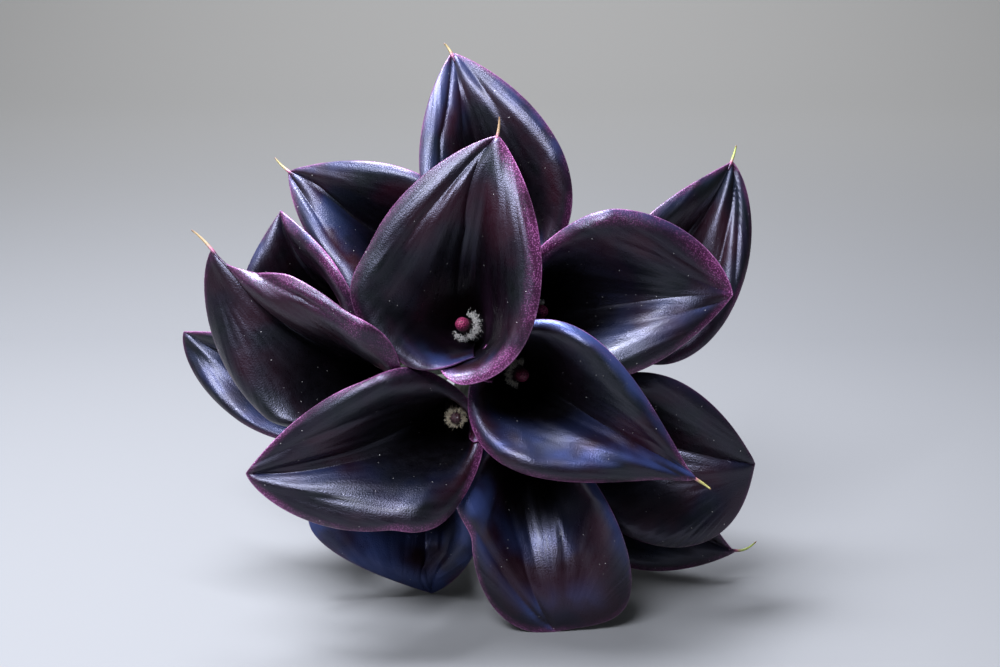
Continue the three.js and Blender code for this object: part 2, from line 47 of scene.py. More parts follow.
# at: middle of the throat. neck: top of the tube. turn, rise, bank: how the opening points and tilts.
# back, lip: throat to tip and to the front lip. left, right: half widths. sharp: how the sides narrow.
# sway, curl: the tip's swing and its bend back. dip, pinch: how the front lip sinks and narrows. heel,
# drawn: how much fuller the left and the right side are near the lip, and slimmer near the tip. seam:
# where the margins start to dive into the roll. wrap: -1 where the left margin laps outside. roll: how
# steeply the rim rolls over. spadix: x and y of its tip, if it leans off the tube. tail: how far the thread
# at the tip reaches on, across and out. slot: which ring of stems it stands in, and where in that ring.
# folds: each fold that fans out from the tip, as its place near the tip and at mid blade, its height and
# its width. A crease has a height below zero.
# A is the large flower in the middle, with H, I, G and E round it. The rest stand further back: from the top
# and round by the left they are B, C, D, F, L, K, N, M and J.
FLOWERS = {
    "A": dict(at=(-9, 9.5, 161), neck=(-3, 8, 132), turn=77, rise=0, bank=-8, back=72, lip=20.5, left=37,
              right=30, sharp=(0.6, 0.7), sway=1, curl=2, dip=4, heel=(0.14, 0), seam=0.82,
              spadix=(-6, 10.1), tail=(6.7, -0.8, 1.5), slot=("in", 1),
              folds=((-15, -19, -1.7, 1.6), (-13, -4, -1.5, 1.4), (4, 8, 1, 5), (-9, -12, 0.7, 4))),
    "H": dict(at=(18.5, -12, 152), neck=(16, -10, 123), turn=-26, rise=-6, bank=0, back=77, lip=16.5,
              left=27, right=31, sharp=(1.6, 1.5), sway=5, curl=4, dip=17, roll=50, spadix=(18.5, -10.3),
              tail=(6, 1, 1), slot=("in", 3),
              folds=((5, 1, 1.9, 3.2), (11, 8.5, 1.1, 2.4), (8, 4.5, -0.7, 1.6), (-3, -5, -0.8, 2.2))),
    "I": dict(at=(35, 22.5, 136), neck=(27, 15, 107), turn=-3, rise=-6, bank=0, back=66.5, lip=18,
              left=32.5, right=34, sharp=(0.35, 0.85), sway=-2, curl=5, dip=17, pinch=0.3,
              spadix=(26.3, 15.4), slot=("in", 0),
              folds=((-8, -15, -0.9, 1.6), (9.5, 10, -0.8, 1.8), (1, 0, 0.7, 4), (-16, -21, -0.6, 1.4))),
    "G": dict(at=(-13, -35.5, 155), neck=(-10, -27.7, 127), turn=189, rise=-3, bank=-8, back=75, lip=14.4,
              left=29, right=29, sharp=(0.35, 0.9), sway=0, curl=4, dip=24, pinch=0.25, heel=(0.3, 0.17),
              wrap=-1, spadix=(-7.7, -26.7), slot=("in", 2),
              folds=((8, 3.5, 1.1, 3), (-5, -3, -1.3, 1.6), (-18, -9, 0.9, 3.4), (14, 12, -0.9, 1.6))),
    "E": dict(at=(-48, -22.3, 155), neck=(-39, -15, 126), turn=132, rise=-8, bank=-28, back=81.5, lip=9.7,
              left=31, right=28.2, sharp=(0.25, 1), sway=0, curl=3, dip=19.5, pinch=0.35, heel=(0, 0.32),
              drawn=(0, 0.95), tail=(10.5, 0, 2), slot=("out", 6),
              folds=((3.5, -3, -1.5, 1.5), (13, 18.5, -1.7, 1.8), (9, 8, 0.8, 4), (-8, -9, 0.7, 4))),
    "B": dict(at=(11.5, 55, 128), neck=(10, 46, 101), turn=110, rise=-12, bank=8, back=70, lip=21,
              left=29, right=29, sharp=(0.8, 0.75), sway=2, curl=4, dip=14, tail=(4.3, -1.8, 1),
              slot=("out", 2),
              folds=((-5.5, -15, -1.6, 1.5), (0.5, -5.5, -0.9, 1.5), (5, 4, 0.8, 4), (12, 11, -0.7, 1.8))),
    "C": dict(at=(-28, 41.5, 117), neck=(-22, 33, 90), turn=147, rise=-16, bank=0, back=62, lip=22,
              left=25.5, right=26.5, sharp=(0.7, 0.85), sway=-1, curl=4, dip=14, heel=(0.4, 0),
              tail=(8, 1.8, 1), slot=("out", 3),
              folds=((5, -2, -1.3, 1.5), (-8, -13, -1.1, 1.6), (-2, -7, 0.6, 3), (10, 7, 0.6, 3))),
    "D": dict(at=(-73, 16, 120), neck=(-60, 14, 92), turn=104, rise=-8, bank=-20, back=40.5, lip=19,
              left=25, right=25, sharp=(1.2, 1.05), sway=3, curl=4, dip=12, slot=("out", 4),
              folds=((0, 0, -1, 1.5), (6, 6, 0.7, 2.5))),
    "F": dict(at=(-81.5, -24, 84), neck=(-66, -18, 60), turn=145, rise=-15, bank=-20, back=58, lip=21,
              left=18, right=21.5, sharp=(0.2, 1.05), sway=-2, curl=4, dip=8, slot=("out", 5),
              folds=((0, 0, -1.1, 1.5), (-5, -6, 0.7, 3))),
    "J": dict(at=(77.5, 18, 101), neck=(64, 16, 74), turn=66, rise=-10, bank=18, back=68.5, lip=23,
              left=29, right=27.5, sharp=(1.15, 0.4), sway=3, curl=4, dip=8, tail=(6.4, -1.4, 1),
              slot=("out", 1),
              folds=((2, 2, -1.4, 1.3), (14, 12.5, -1.4, 1.3), (19, 18, -1.1, 1.4), (8, 7, 0.9, 2.6))),
    "K": dict(at=(22, -48.22, 136), neck=(19, -43.15, 108), turn=279, rise=-15, bank=0, back=68, lip=13,
              left=32, right=28, sharp=(-0.6, -0.15), sway=0, curl=3, dip=14, heel=(0, 0.4),
              slot=("out", 8),
              folds=((22, 19, -1.1, 1.5), (14, 9, -1.1, 1.5), (0, -2, 0.8, 5))),
    "L": dict(at=(-31.5, -68.14, 98), neck=(-22, -54, 72), turn=270, rise=-20, bank=0, back=38, lip=14,
              left=32, right=37.5, sharp=(0.7, 1.05), sway=-12, curl=3, dip=6, slot=("out", 7),
              folds=((-6, -15, -1.2, 1.5), (7, -11, -1, 1.5), (0, -5, 0.7, 3))),
    "M": dict(at=(52.5, -39.5, 118), neck=(44, -31, 91), turn=-8, rise=-12, bank=10, back=64, lip=15,
              left=32.5, right=37.5, sharp=(0.9, -0.3), sway=0, curl=6, dip=10, slot=("out", 0),
              folds=((0, 0, -0.9, 1.8), (-8, -9, 0.6, 4), (9, 9, 0.6, 5))),
    "N": dict(at=(61.5, -64.5, 87), neck=(50, -52, 63), turn=-30, rise=-15, bank=15, back=55, lip=18,
              left=18, right=25.5, sharp=(1.25, 0.65), sway=-4, curl=3, dip=10, tail=(4.5, -9, 1),
              slot=("out", 9),
              folds=((0, 0, -0.9, 1.6), (6, 6, 0.6, 3))),
}


def laid_down(points):
    """Points of the plan, laid on their side and in metres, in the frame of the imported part."""
    p = np.asarray(points, float)
    c, s = math.cos(math.radians(LAY_DOWN)), math.sin(math.radians(LAY_DOWN))
    laid = np.stack([p[..., 0], p[..., 1] * c - p[..., 2] * s, p[..., 1] * s + p[..., 2] * c], axis=-1)
    return (laid + LAID_AT) / 1000


# ---- Stems -------------------------------------------------------------------------------------------
# Each flower stands on its own bare, juicy stem, 8 mm thick, with a smooth green skin that is finely
# ribbed along its length. The stems run straight through the tie, spread below it and are cut square.

# held: how far they run straight on each side of the tie. splay: how far they spread below it. bend: where
# each turns up into its flower. seat: how far it stands in the flower's foot. swell, swells: how much it
# thickens there, and over which stretch below its top.
STEM = dict(radius=4.0, top_radius=3.7, below_tie=120, held=20, splay=2.4, bend=18, inner_ring=5.9,
            outer_ring=14.3, seat=5, skin=0.06, swell=0.7, swells=(2.2, 0.2), sides=40, steps=10, ribs=13,
            rib_depth=0.05)
# the near-black below is painted shade, which the tops of the stems are darkened to under the flowers
STEM_COLOURS = dict(green=(0.045, 0.090, 0.018), fresh=(0.115, 0.175, 0.048), shaded_under_flower=(0.006, 0.004, 0.005),
                    blotch=(0.035, 0.022, 0.024), pith=(0.20, 0.23, 0.11), pale_pith=(0.34, 0.36, 0.21))
TIE_AT = -30
# the tube that a flower stands on: its radius at the foot and at the neck, and how its foot leans upright
TUBE = dict(foot=4.95, neck=9, length=27, lean=0.35)


def unit(v):
    return v / np.linalg.norm(v, axis=-1, keepdims=True)


def mix(a, b, t):
    return a + (b - a) * t


def smooth(a, b, x):
    t = np.clip((x - a) / (b - a), 0, 1)
    return t * t * (3 - 2 * t)


def tie_place(slot):
    """Where a stem runs through the tie: four stand in the inner ring, ten in the outer one."""
    ring, n = slot
    angle = math.radians(45 + 90 * n if ring == "in" else 36 * n)
    r = STEM["inner_ring"] if ring == "in" else STEM["outer_ring"]
    return np.array([r * math.cos(angle), r * math.sin(angle), TIE_AT])


def flower_frame(f):
    """The frame of one flower f of the plan: the plane of its opening, and the bent tube below it."""
    throat = np.array(f["at"], float)
    tie = tie_place(f["slot"])
    turn, rise, bank = (math.radians(f[k]) for k in ("turn", "rise", "bank"))
    to_tip = np.array([math.cos(turn) * math.cos(rise), math.sin(turn) * math.cos(rise), math.sin(rise)])
    level = np.array([-math.cos(turn) * math.sin(rise), -math.sin(turn) * math.sin(rise), math.cos(rise)])
    flat = np.cross(to_tip, level)
    out = level * math.cos(bank) + flat * math.sin(bank)
    to_right = flat * math.cos(bank) - level * math.sin(bank)
    neck = np.array(f["neck"], float)
    upper = unit(throat - neck)
    lower = unit(mix(unit(neck - tie), upper, TUBE["lean"]))
    foot = neck - lower * TUBE["length"]
    return dict(throat=throat, tie=tie, to_tip=to_tip, to_right=to_right, out=out, upper=upper, neck=neck,
                lower=lower, foot=foot)


def smooth_path(knots, steps):
    """A centripetal curve through the knots, with that many steps between each two of them."""
    k = [2 * knots[0] - knots[1]] + list(knots) + [2 * knots[-1] - knots[-2]]
    path = []
    for p0, p1, p2, p3 in zip(k, k[1:], k[2:], k[3:]):
        d0, d1, d2 = (np.linalg.norm(b - a) ** 0.5 for a, b in ((p0, p1), (p1, p2), (p2, p3)))
        m1 = ((p1 - p0) / d0 - (p2 - p0) / (d0 + d1) + (p2 - p1) / d1) * d1
        m2 = ((p2 - p1) / d1 - (p3 - p1) / (d1 + d2) + (p3 - p2) / d2) * d1
        for t in np.arange(steps) / steps:
            path.append(p1 + m1 * t + (-3 * p1 + 3 * p2 - 2 * m1 - m2) * t ** 2
                        + (2 * p1 - 2 * p2 + m1 + m2) * t ** 3)
    path.append(knots[-1])
    return np.array(path)


def carried_axes(path):
    """Two axes square to a path at each of its points, carried along without twist."""
    ahead = unit(np.gradient(path, axis=0))
    side = np.cross(ahead[0], [0.3, 0.9, 0.1])
    sides = []
    for d in ahead:
        side = unit(side - d * np.dot(side, d))
        sides.append(side)
    sides = np.array(sides)
    return sides, np.cross(ahead, sides)


def ring_faces(rows, cols):
    """The faces of a stack of rings, one after the other, closed at both ends."""
    faces = [(i * cols + k, i * cols + (k + 1) % cols, (i + 1) * cols + (k + 1) % cols, (i + 1) * cols + k)
             for i in range(rows - 1) for k in range(cols)]
    return faces + [tuple(range(cols))[::-1], tuple((rows - 1) * cols + k for k in range(cols))]


def tube_mesh(path, radii, sides, ribs=0, rib_depth=0.0):
    """A closed tube: its points, and its faces. Ribs run along its length."""
    u, v = carried_axes(path)
    a = 2 * np.pi * np.arange(sides) / sides
    r = np.asarray(radii)[:, None] + rib_depth * np.cos(ribs * a)[None, :]
    points = path[:, None] + u[:, None] * (r * np.cos(a))[..., None]
    points = points + v[:, None] * (r * np.sin(a))[..., None]
    return points.reshape(-1, 3), ring_faces(len(path), sides)


def make_piece(name, points, faces, material, replaced=None):
    """A smooth-shaded mesh piece in the part's frame, riding on it."""
    mesh = bpy.data.meshes.new(name)
    mesh.from_pydata(laid_down(points).tolist(), [], faces)
    mesh.polygons.foreach_set("use_smooth", np.ones(len(mesh.polygons), bool))
    mesh.materials.append(material)
    mesh.validate()
    piece = bpy.data.objects.new(name, mesh)
    bpy.context.scene.collection.objects.link(piece)
    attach(piece, "root")
    if replaced:
        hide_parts(replaced)
    return piece


def paint(piece, name, values):
    """Keeps one number for each vertex, for the material to read."""
    attribute = piece.data.attributes.new(name, "FLOAT", "POINT")
    attribute.data.foreach_set("value", np.asarray(values, np.float32).ravel())


def new_material(name, **sockets):
    """A material with one Principled shader; the keyword sockets are set on it as they stand."""
    material = bpy.data.materials.new(name)
    material.use_nodes = True
    tree = material.node_tree
    shader = next(n for n in tree.nodes if n.type == "BSDF_PRINCIPLED")
    for socket, value in sockets.items():
        shader.inputs[socket.replace("_", " ")].default_value = value
    return material, tree, shader


def feed(shader, **sockets):
    """Links what the nodes give to the sockets of the shader."""
    for socket, value in sockets.items():
        shader.id_data.links.new(value, shader.inputs[socket.replace("_", " ")])


def add(tree, kind, settings=None, **inputs):
    """A node; inputs are values, or sockets of other nodes to link. _0, _1 are inputs by number."""
    node = tree.nodes.new(kind)
    for key, value in (settings or {}).items():
        setattr(node, key, value)
    for key, value in inputs.items():
        socket = node.inputs[int(key[1:])] if key[0] == "_" else node.inputs[key.replace("_", " ")]
        if isinstance(value, bpy.types.NodeSocket):
            tree.links.new(value, socket)
        else:
            socket.default_value = value
    return node


def reading(tree, name):
    """What paint() kept under this name."""
    return add(tree, "ShaderNodeAttribute", dict(attribute_name=name)).outputs["Fac"]


def ramp(tree, value, low, high, to_low=0.0, to_high=1.0):
    """A soft step from one value to another, as the input goes from low to high."""
    return add(tree, "ShaderNodeMapRange", dict(interpolation_type="SMOOTHSTEP"), Value=value, From_Min=low,
               From_Max=high, To_Min=to_low, To_Max=to_high).outputs["Result"]


def blend_colour(tree, factor, a, b):
    """From colour a to colour b; a plain colour is given as red, green and blue."""
    node = add(tree, "ShaderNodeMix", dict(data_type="RGBA"))
    for name, value in dict(Factor=factor, A=a, B=b).items():
        socket = next(s for s in node.inputs if s.name == name and s.enabled)
        if isinstance(value, bpy.types.NodeSocket):
            tree.links.new(value, socket)
        else:
            socket.default_value = (*value, 1)
    return next(s for s in node.outputs if s.enabled)


def calculate(tree, how, a, b):
    """One step of arithmetic on masks and heights."""
    return add(tree, "ShaderNodeMath", dict(operation=how), _0=a, _1=b).outputs[0]


def product(tree, first, *others):
    """Masks laid over each other, so that only what all of them let through is left."""
    for other in others:
        first = calculate(tree, "MULTIPLY", first, other)
    return first


def noise(tree, where, scale, detail, **more):
    return add(tree, "ShaderNodeTexNoise", Vector=where, Scale=scale, Detail=detail, **more).outputs["Fac"]


def relief(tree, height, strength, depth, **under):
    """Fine relief of this depth in metres, over the relief under it if there is one."""
    return add(tree, "ShaderNodeBump", Strength=strength, Distance=depth, Height=height, **under).outputs[0]


def place_in_mm(tree):
    """The point on the piece, in millimetres, for grain at its true scale."""
    where = add(tree, "ShaderNodeTexCoord").outputs["Object"]
    return add(tree, "ShaderNodeVectorMath", dict(operation="SCALE"), _0=where, Scale=1000.0).outputs[0]


def build_grain():
    """The grain of everything that grows here: tiny cells, soft mottling and a few pale specks of dust."""
    group = bpy.data.node_groups.new("living_grain", "ShaderNodeTree")
    group.interface.new_socket("Size", in_out="INPUT", socket_type="NodeSocketFloat")
    for name in ("Cells", "Mottle", "Dust", "Height"):
        group.interface.new_socket(name, in_out="OUTPUT", socket_type="NodeSocketFloat")
    given, result = group.nodes.new("NodeGroupInput"), group.nodes.new("NodeGroupOutput")
    where = place_in_mm(group)
    finer = calculate(group, "DIVIDE", 1.9, given.outputs["Size"])
    cells = add(group, "ShaderNodeTexVoronoi", Vector=where, Scale=finer).outputs["Distance"]
    coarser = calculate(group, "DIVIDE", 0.35, given.outputs["Size"])
    mottle = noise(group, where, coarser, 4.0)
    specks = add(group, "ShaderNodeTexVoronoi", Vector=where, Scale=0.34)
    kept = add(group, "ShaderNodeSeparateColor", Color=specks.outputs["Color"]).outputs["Red"]
    dust = product(group, ramp(group, specks.outputs["Distance"], 0.03, 0.07, 1.0, 0.0),
                   ramp(group, kept, 0.35, 0.65))
    height = calculate(group, "ADD", cells, product(group, mottle, 2.0))
    for name, value in dict(Cells=cells, Mottle=mottle, Dust=dust, Height=height).items():
        group.links.new(value, result.inputs[name])
    return group


LIVING_GRAIN = build_grain()


def grown(tree, size):
    """The outputs of the living grain, at this size of cell."""
    return add(tree, "ShaderNodeGroup", dict(node_tree=LIVING_GRAIN), Size=size).outputs


# green in patches, darkened nearly black under the flower as painted shade, and pale juicy pith on the cut
stem_skin, tree, shader = new_material("stem_skin", Roughness=0.42, Coat_Weight=0.1, Coat_Roughness=0.3)
grain = grown(tree, 0.8)
patches = noise(tree, place_in_mm(tree), 0.06, 4.0)
green = blend_colour(tree, patches, STEM_COLOURS["green"], STEM_COLOURS["fresh"])
# painted shade: darker towards the top of the stem, under its flower
shaded_under_flower = calculate(tree, "ADD", reading(tree, "upward"), product(tree, patches, 0.3))
green = blend_colour(tree, ramp(tree, shaded_under_flower, 0.66, 0.92), green, STEM_COLOURS["shaded_under_flower"])
blotches = ramp(tree, grain["Mottle"], 0.6, 0.7, 0.0, 0.5)
green = blend_colour(tree, blotches, green, STEM_COLOURS["blotch"])
pith = ramp(tree, grain["Cells"], 0.1, 0.5)
pith = blend_colour(tree, pith, STEM_COLOURS["pith"], STEM_COLOURS["pale_pith"])
feed(shader, Base_Color=blend_colour(tree, reading(tree, "cut_face"), green, pith),
     Normal=relief(tree, grain["Height"], 0.35, 0.0002))

for name, f in FLOWERS.items():
    fr = flower_frame(f)
    tie, foot, lower = fr["tie"], fr["foot"], fr["lower"]
    cut = np.array([tie[0] * STEM["splay"], tie[1] * STEM["splay"], TIE_AT - STEM["below_tie"]])
    held = [tie + [0, 0, k * STEM["held"]] for k in (-1, -0.35, 0.35, 1)]
    knots = [cut, *held, foot - lower * STEM["bend"], foot, foot + lower * STEM["seat"]]
    path = smooth_path(knots, STEM["steps"])
    run = np.linspace(0, 1, len(path))
    in_foot = np.arange(len(path)) >= len(path) - STEM["steps"]
    below_top = STEM["seat"] - np.linalg.norm(path - foot, axis=1) * in_foot
    thick = mix(STEM["radius"], STEM["top_radius"], run) - STEM["skin"]
    thick = thick + STEM["swell"] * smooth(*STEM["swells"], below_top)
    points, faces = tube_mesh(path, thick, STEM["sides"], STEM["ribs"], STEM["rib_depth"])
    stem = make_piece(f"stem_skin_{name}", points, faces, stem_skin, f"stem_{name}")
    paint(stem, "upward", np.repeat(run, STEM["sides"]))
    paint(stem, "cut_face", np.repeat(run == 0, STEM["sides"]))

# ---- The tie -----------------------------------------------------------------------------------------
# Twine holds the stems together where they cross. It is a jute cord of two twisted plies, wound fourteen
# times round them with its turns side by side, and its ends are tucked under.

# ply, ply_off: radius of each ply, and how far it lies off the cord's middle. lay: how long a twist runs.
TIE = dict(inner=18.7, cord=1.6, height=24, turns=14, ply=0.42, ply_off=0.36, lay=2.6, steps=110, sides=8)
JUTE_COLOURS = dict(dark=(0.10, 0.065, 0.03), pale=(0.30, 0.22, 0.125))

jute, tree, shader = new_material("jute", Roughness=0.85, Sheen_Weight=0.3)
fibre = noise(tree, place_in_mm(tree), 2.2, 5.0, Roughness=0.7)
straw = blend_colour(tree, ramp(tree, fibre, 0.3, 0.7), JUTE_COLOURS["dark"], JUTE_COLOURS["pale"])
feed(shader, Base_Color=straw, Normal=relief(tree, fibre, 0.6, 0.0003))

turn = np.linspace(0, 2 * np.pi * (TIE["turns"] - 1), (TIE["turns"] - 1) * TIE["steps"])
middle = TIE["inner"] + TIE["cord"] / 2
climb = (TIE["height"] - TIE["cord"]) / (TIE["turns"] - 1)
wound = np.stack([middle * np.cos(turn), middle * np.sin(turn),
                  TIE_AT - (TIE["height"] - TIE["cord"]) / 2 + climb * turn / (2 * np.pi)], axis=1)
u, v = carried_axes(wound)
plies, ply_faces = [], []
twist = turn * middle / TIE["lay"]
for half in (0, np.pi):
    centre = wound + TIE["ply_off"] * (u * np.cos(twist + half)[:, None] + v * np.sin(twist + half)[:, None])
    points, faces = tube_mesh(centre, np.full(len(centre), TIE["ply"]), TIE["sides"])
    ply_faces += [tuple(i + sum(len(p) for p in plies) for i in face) for face in faces]
    plies.append(points)
make_piece("tie_twine", np.concatenate(plies), ply_faces, jute, "tie")

# ---- Spadices ----------------------------------------------------------------------------------------
# The finger in the middle of each flower: dark crimson, set all over with tiny round florets in crossing
# spirals. Below its tip the florets have pushed out their pollen in short crumbly threads.

# gap, seat: how it stands over the stem's top. floret, dome, sunk: a floret's radius, its height and how
# deep it sits. rows, cols: the points along the finger and round it. threads, crumbs: of the pollen, and
# crumb_size, stray, wander: how small they are, and how far a thread starts and then drifts off its line.
SPADIX = dict(length=31, radius=3.1, gap=0.75, seat=5, florets=620, floret=0.48, dome=0.3, sunk=0.09,
              rows=170, cols=64, threads=230, crumbs=9, crumb_size=(0.07, 0.17), stray=0.25, wander=0.14)
SPADIX_COLOURS = dict(
    dark=(0.008, 0.001, 0.002), crimson=(0.022, 0.002, 0.006), tip=(0.10, 0.003, 0.024),
    crown=(0.46, 0.05, 0.16), grey_pollen=(0.36, 0.34, 0.31), cream_pollen=(0.66, 0.64, 0.60),
    brown_pollen=(0.14, 0.09, 0.03), golden_pollen=(0.42, 0.34, 0.18))
# low, high: the stretch the pollen comes from. longest: its threads. hangs: how far out the crumbs begin.
# golden: from cream to gold. x, y: the side most of it hangs on, and how closely. blush: the tip's crimson.
POLLEN = {
    "A": dict(low=0.55, high=0.84, longest=3.6, hangs=0.55, golden=0.05, x=0.8, y=-0.6, closely=0.4,
              blush=1.0),
    "G": dict(low=0.80, high=0.95, longest=1.8, hangs=0.2, golden=0.8, x=0, y=1, closely=0, blush=0.0),
    "H": dict(low=0.5, high=0.8, longest=3.2, hangs=0.5, golden=0.4, x=-0.95, y=0.3, closely=0.5,
              blush=0.35),
    "I": dict(low=0.7, high=0.9, longest=2.0, hangs=0.3, golden=0.1, x=-0.6, y=0.8, closely=0.7,
              blush=0.75)}
OTHER_POLLEN = dict(low=0.5, high=0.9, longest=1.4, hangs=0, golden=0.4, x=0, y=1, closely=0, blush=0.6)
rng = np.random.default_rng(14)

# the florets' crowns catch the light, most of all on the crimson tip
spadix_flesh, tree, shader = new_material("spadix_flesh", Roughness=0.42)
grain = grown(tree, 0.5)
flesh = blend_colour(tree, grain["Mottle"], SPADIX_COLOURS["dark"], SPADIX_COLOURS["crimson"])
at_tip = product(tree, ramp(tree, reading(tree, "upward"), 0.8, 0.92), reading(tree, "blush"))
flesh = blend_colour(tree, at_tip, flesh, SPADIX_COLOURS["tip"])
on_crown = ramp(tree, reading(tree, "crown"), 0.45, 0.95)
on_crown = product(tree, on_crown, calculate(tree, "ADD", 0.03, at_tip))
flesh = blend_colour(tree, on_crown, flesh, SPADIX_COLOURS["crown"])
feed(shader, Base_Color=flesh, Normal=relief(tree, grain["Height"], 0.4, 0.0002))

pollen, tree, shader = new_material("pollen", Roughness=0.85, Sheen_Weight=0.3)
grain = grown(tree, 0.3)
cream = blend_colour(tree, grain["Mottle"], SPADIX_COLOURS["grey_pollen"], SPADIX_COLOURS["cream_pollen"])
gold = blend_colour(tree, grain["Mottle"], SPADIX_COLOURS["brown_pollen"], SPADIX_COLOURS["golden_pollen"])
feed(shader, Base_Color=blend_colour(tree, reading(tree, "golden"), cream, gold),
     Normal=relief(tree, grain["Height"], 0.5, 0.0001))


def finger_grid(rows, cols):
    """The studded finger, upright: its points, how far up a floret each lies, and how high each ring is."""
    # its bare outline, measured along the skin so that the rings and the florets spread evenly over the tip
    fine = np.linspace(0, 1, 4000)
    outline = np.interp(fine, [0, 0.35, 0.7, 0.86, 0.95, 0.985, 1], [0.93, 0.93, 0.9, 0.82, 0.62, 0.4, 0.02])
    radius, z = SPADIX["radius"] * outline, SPADIX["length"] * fine
    step = np.hypot(np.diff(radius), np.diff(z))
    run = np.concatenate([[0], np.cumsum(step)])
    skin = np.concatenate([[0], np.cumsum(step * (radius[1:] + radius[:-1]) / 2)])
    s = np.linspace(0, run[-1], rows)
    r, h = np.interp(s, run, radius), np.interp(s, run, z)
    slope_r, slope_h = np.gradient(r, s), np.gradient(h, s)
    a = 2 * np.pi * np.arange(cols) / cols

    # the florets climb it in one tight spiral, and each swells into a dome
    florets = np.arange(SPADIX["florets"])
    golden_angle = math.pi * (3 - math.sqrt(5))
    floret_s = np.interp((florets + 0.5) / len(florets) * skin[-1], skin, run)
    floret_a = (florets * golden_angle) % (2 * np.pi)
    ds = s[:, None, None] - floret_s
    da = (a[None, :, None] - floret_a + np.pi) % (2 * np.pi) - np.pi
    near = np.sqrt(ds ** 2 + (da * r[:, None, None]) ** 2).min(axis=2)
    dome = np.sqrt(np.clip(1 - (near / SPADIX["floret"]) ** 2, 0, 1))
    stand = SPADIX["dome"] * dome - SPADIX["sunk"]
    r = r[:, None] + stand * slope_h[:, None]
    h = h[:, None] - stand * slope_r[:, None]
    return np.stack([r * np.cos(a), r * np.sin(a), h], -1), dome, h[:, 0] / SPADIX["length"]


def pebbles(centres, sizes):
    """Many tiny eight-sided grains in one mesh."""
    corner = np.array([[1, 0, 0], [-1, 0, 0], [0, 1, 0], [0, -1, 0], [0, 0, 1], [0, 0, -1]], float)
    face = [(0, 2, 4), (2, 1, 4), (1, 3, 4), (3, 0, 4), (2, 0, 5), (1, 2, 5), (3, 1, 5), (0, 3, 5)]
    points = centres[:, None] + corner[None] * np.asarray(sizes)[:, None, None]
    return points.reshape(-1, 3), [tuple(6 * i + k for k in t) for i in range(len(centres)) for t in face]


def turned(axis):
    """Two more axes, square to this one and to each other."""
    u = unit(np.cross(axis, [0.31, 0.17, 0.93]))
    return u, np.cross(axis, u)


FINGER, FINGER_DOME, FINGER_RISE = finger_grid(SPADIX["rows"], SPADIX["cols"])
for name, f in FLOWERS.items():
    fr = flower_frame(f)
    base = fr["foot"] + fr["lower"] * (SPADIX["seat"] + SPADIX["gap"])
    axis = unit(mix(fr["lower"], fr["upper"], TUBE["lean"]))
    if "spadix" in f:
        axis = unit(np.array([*f["spadix"], base[2] + SPADIX["length"]]) - base)
    u, v = turned(axis)
    points = base + FINGER[..., :1] * u + FINGER[..., 1:2] * v + FINGER[..., 2:] * axis
    rows, cols = points.shape[:2]
    spadix = make_piece(f"spadix_flesh_{name}", points.reshape(-1, 3), ring_faces(rows, cols), spadix_flesh,
                        f"spadix_{name}")
    own = POLLEN.get(name, OTHER_POLLEN)
    paint(spadix, "crown", FINGER_DOME)
    paint(spadix, "upward", np.repeat(FINGER_RISE, cols))
    paint(spadix, "blush", np.full(rows * cols, own["blush"]))

    # each thread of pollen leaves the finger where a floret stands, and wanders outwards crumb by crumb
    threads, crumbs = SPADIX["threads"], SPADIX["crumbs"]
    rise = rng.uniform(own["low"], own["high"], threads)
    side = np.array([own["x"], own["y"], 0.0])
    way = math.atan2(side @ v, side @ u) + rng.uniform(-np.pi, np.pi, threads) * (1 - own["closely"])
    i = np.searchsorted(FINGER_RISE, rise)
    k = (way / (2 * np.pi) * cols).astype(int) % cols
    rooted = points[i, k]
    outward = unit(rooted - base - ((rooted - base) @ axis)[:, None] * axis)
    reach = own["longest"] * rng.uniform(0.55, 1, threads)[:, None] * np.linspace(own["hangs"], 1, crumbs)
    drift = rng.normal(0, SPADIX["stray"], (threads, 1, 3))
    drift = drift + np.cumsum(rng.normal(0, SPADIX["wander"], (threads, crumbs, 3)), axis=1)
    thread = rooted[:, None] + outward[:, None] * reach[..., None] + drift
    points, faces = pebbles(thread.reshape(-1, 3), rng.uniform(*SPADIX["crumb_size"], threads * crumbs))
    dust = make_piece(f"pollen_{name}", points, faces, pollen)
    paint(dust, "golden", np.full(len(points), own["golden"]))

# ---- Spathes -----------------------------------------------------------------------------------------
# One leaf per flower, under a millimetre thick and nearly black. It is rolled into a tube round the spadix,
# one margin over the other, and flares into a bowl with a rim that rolls over and a tip drawn to a thread.

